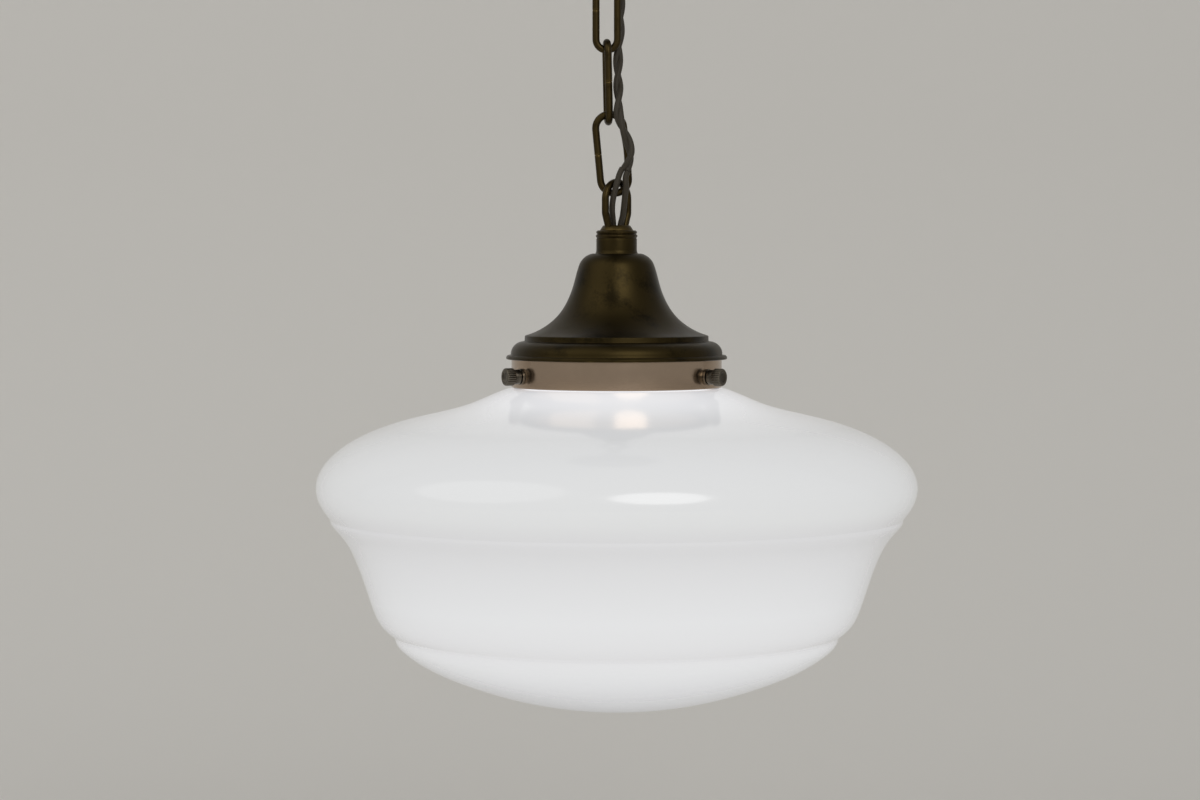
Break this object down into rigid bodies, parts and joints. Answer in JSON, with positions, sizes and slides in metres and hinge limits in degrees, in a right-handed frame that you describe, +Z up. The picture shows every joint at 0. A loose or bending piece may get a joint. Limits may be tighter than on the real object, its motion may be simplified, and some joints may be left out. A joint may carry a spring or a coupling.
{
  "type": "schoolhouse pendant lamp",
  "caption": "Pendant lamp on a short chain with a twisted cord: brass canopy and bell over a broad stepped opal glass shade.",
  "frame": {"origin": "middle of the canopy on the ceiling plane, between the ceiling bar's two screw slots", "axes": "+Z up into the ceiling, +X along the ceiling bar to the viewer's right in the picture, viewer at -Y"},
  "size_m": [0.3002, 0.3002, 0.4616],
  "materials": {
    "aged_brass": "antique bronze patina on spun brass, satin, lacquered",
    "cast_brass": "antique patina on cast and turned brass, rubbed bright on the edges",
    "chain_metal": "antique patina on round wire",
    "band_metal": "polished and lacquered, mirror-like",
    "screw_brass": "turned, knurled, lightly aged",
    "tube_steel": "zinc-plated threaded steel",
    "bar_steel": "zinc-plated steel strip",
    "opal_glass": "white opal glass, glossy, lit from inside",
    "bulb_glass": "frosted glass, lit",
    "porcelain": "white glazed porcelain",
    "cap_metal": "rolled thin metal",
    "black_glass": "black insulating glass",
    "solder": "soft solder, dull",
    "clear_glass": "clear glass",
    "filament": "coiled tungsten wire",
    "block_plastic": "off-white moulded plastic",
    "contact_brass": "plain brass, satin",
    "cord_cover": "olive-brown woven cover on twisted cores",
    "lead_cover": "olive-brown woven cover"
  },
  "bodies": {
    "canopy": {"ceiling_bar": "bar_steel", "canopy": "aged_brass", "canopy_tube": "tube_steel", "canopy_lock_nut": "tube_steel", "canopy_loop": "cast_brass", "terminal_block": "block_plastic", "terminal_screws": "tube_steel", "earth_screw": "contact_brass", "canopy_lead_left": "lead_cover", "canopy_lead_right": "lead_cover", "cord_stretch_1": "cord_cover"},
    "link_1": {"chain_link_1": "chain_metal", "cord_stretch_2": "cord_cover"},
    "link_2": {"chain_link_2": "chain_metal", "cord_stretch_3": "cord_cover"},
    "link_3": {"chain_link_3": "chain_metal", "cord_stretch_4": "cord_cover"},
    "link_4": {"chain_link_4": "chain_metal", "cord_core_left": "cord_cover", "cord_core_right": "cord_cover"},
    "lamp": {"lamp_loop": "cast_brass", "neck_cap": "cast_brass", "neck_collar": "aged_brass", "bell_cover": "aged_brass", "lamp_tube": "tube_steel", "fitter": "band_metal", "fitter_bushings": "screw_brass", "lock_washer": "tube_steel", "fitter_nut": "tube_steel", "holder_cap": "porcelain", "holder_body": "porcelain", "holder_liner": "contact_brass", "holder_contact": "contact_brass", "holder_screws": "tube_steel", "holder_terminals": "contact_brass", "lamp_lead_left": "lead_cover", "lamp_lead_right": "lead_cover", "glass_shade": "opal_glass"},
    "bulb": {"bulb_glass": "bulb_glass", "bulb_cap": "cap_metal", "bulb_insulator": "black_glass", "bulb_contact": "solder", "bulb_stem": "clear_glass", "bulb_filament": "filament"},
    "thumb_screw_1": {"thumb_screw_1": "screw_brass"},
    "thumb_screw_2": {"thumb_screw_2": "screw_brass"},
    "thumb_screw_3": {"thumb_screw_3": "screw_brass"}
  },
  "joints": [
    {"name": "link_1_swing", "type": "hinge", "parent": "canopy", "child": "link_1", "pos_m": [0, 0, -0.061], "axis": [1, 0, 0], "range_deg": [-12, 12], "deforming": ["cord_stretch_1"]},
    {"name": "link_2_swing", "type": "hinge", "parent": "link_1", "child": "link_2", "pos_m": [0, 0, -0.09665], "axis": [0, 1, 0], "range_deg": [-12, 12], "deforming": ["cord_stretch_2"]},
    {"name": "link_3_swing", "type": "hinge", "parent": "link_2", "child": "link_3", "pos_m": [0, 0, -0.1323], "axis": [1, 0, 0], "range_deg": [-12, 12], "deforming": ["cord_stretch_3"]},
    {"name": "link_4_swing", "type": "hinge", "parent": "link_3", "child": "link_4", "pos_m": [0.00082, 0, -0.16794], "axis": [0, 1, 0], "range_deg": [-12, 12], "deforming": ["cord_stretch_4"]},
    {"name": "lamp_swing", "type": "hinge", "parent": "link_4", "child": "lamp", "pos_m": [0.00493, 0, -0.20342], "axis": [0.7431, -0.6691, 0], "range_deg": [-12, 12], "deforming": ["cord_core_left", "cord_core_right"]},
    {"name": "thumb_screw_1_travel", "type": "slide", "parent": "lamp", "child": "thumb_screw_1", "axis": [-0.891, -0.454, 0], "range_m": [0, 0.004]},
    {"name": "thumb_screw_2_travel", "type": "slide", "parent": "lamp", "child": "thumb_screw_2", "axis": [0.8387, -0.5446, 0], "range_m": [0, 0.004]},
    {"name": "thumb_screw_3_travel", "type": "slide", "parent": "lamp", "child": "thumb_screw_3", "axis": [0.0523, 0.9986, 0], "range_m": [0, 0.004]},
    {"name": "bulb_travel", "type": "slide", "parent": "lamp", "child": "bulb", "axis": [0, 0, -1], "range_m": [0, 0.022]}
  ]
}
